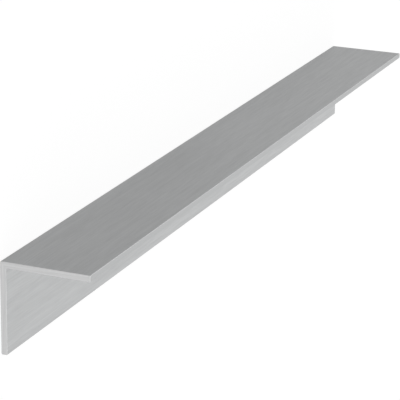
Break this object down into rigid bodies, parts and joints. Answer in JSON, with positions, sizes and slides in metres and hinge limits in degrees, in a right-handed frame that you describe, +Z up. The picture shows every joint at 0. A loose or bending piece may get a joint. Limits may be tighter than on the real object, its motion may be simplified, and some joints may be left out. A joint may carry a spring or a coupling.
{
  "type": "aluminium angle profile",
  "caption": "Straight length of extruded aluminium angle with equal thin legs at a right angle, sawn square at both ends, for framing, edging and bracing.",
  "frame": {"origin": "middle of the outer face of the flat leg, on the floor", "axes": "+Z up, +Y along the length away from the end that the picture shows in front, +X from the heel towards the toe of the flat leg"},
  "size_m": [0.03, 0.3, 0.03],
  "materials": {
    "aluminium": "satin mill finish, brushed along the length"
  },
  "bodies": {
    "root": {"angle_profile": "aluminium"}
  },
  "joints": []
}
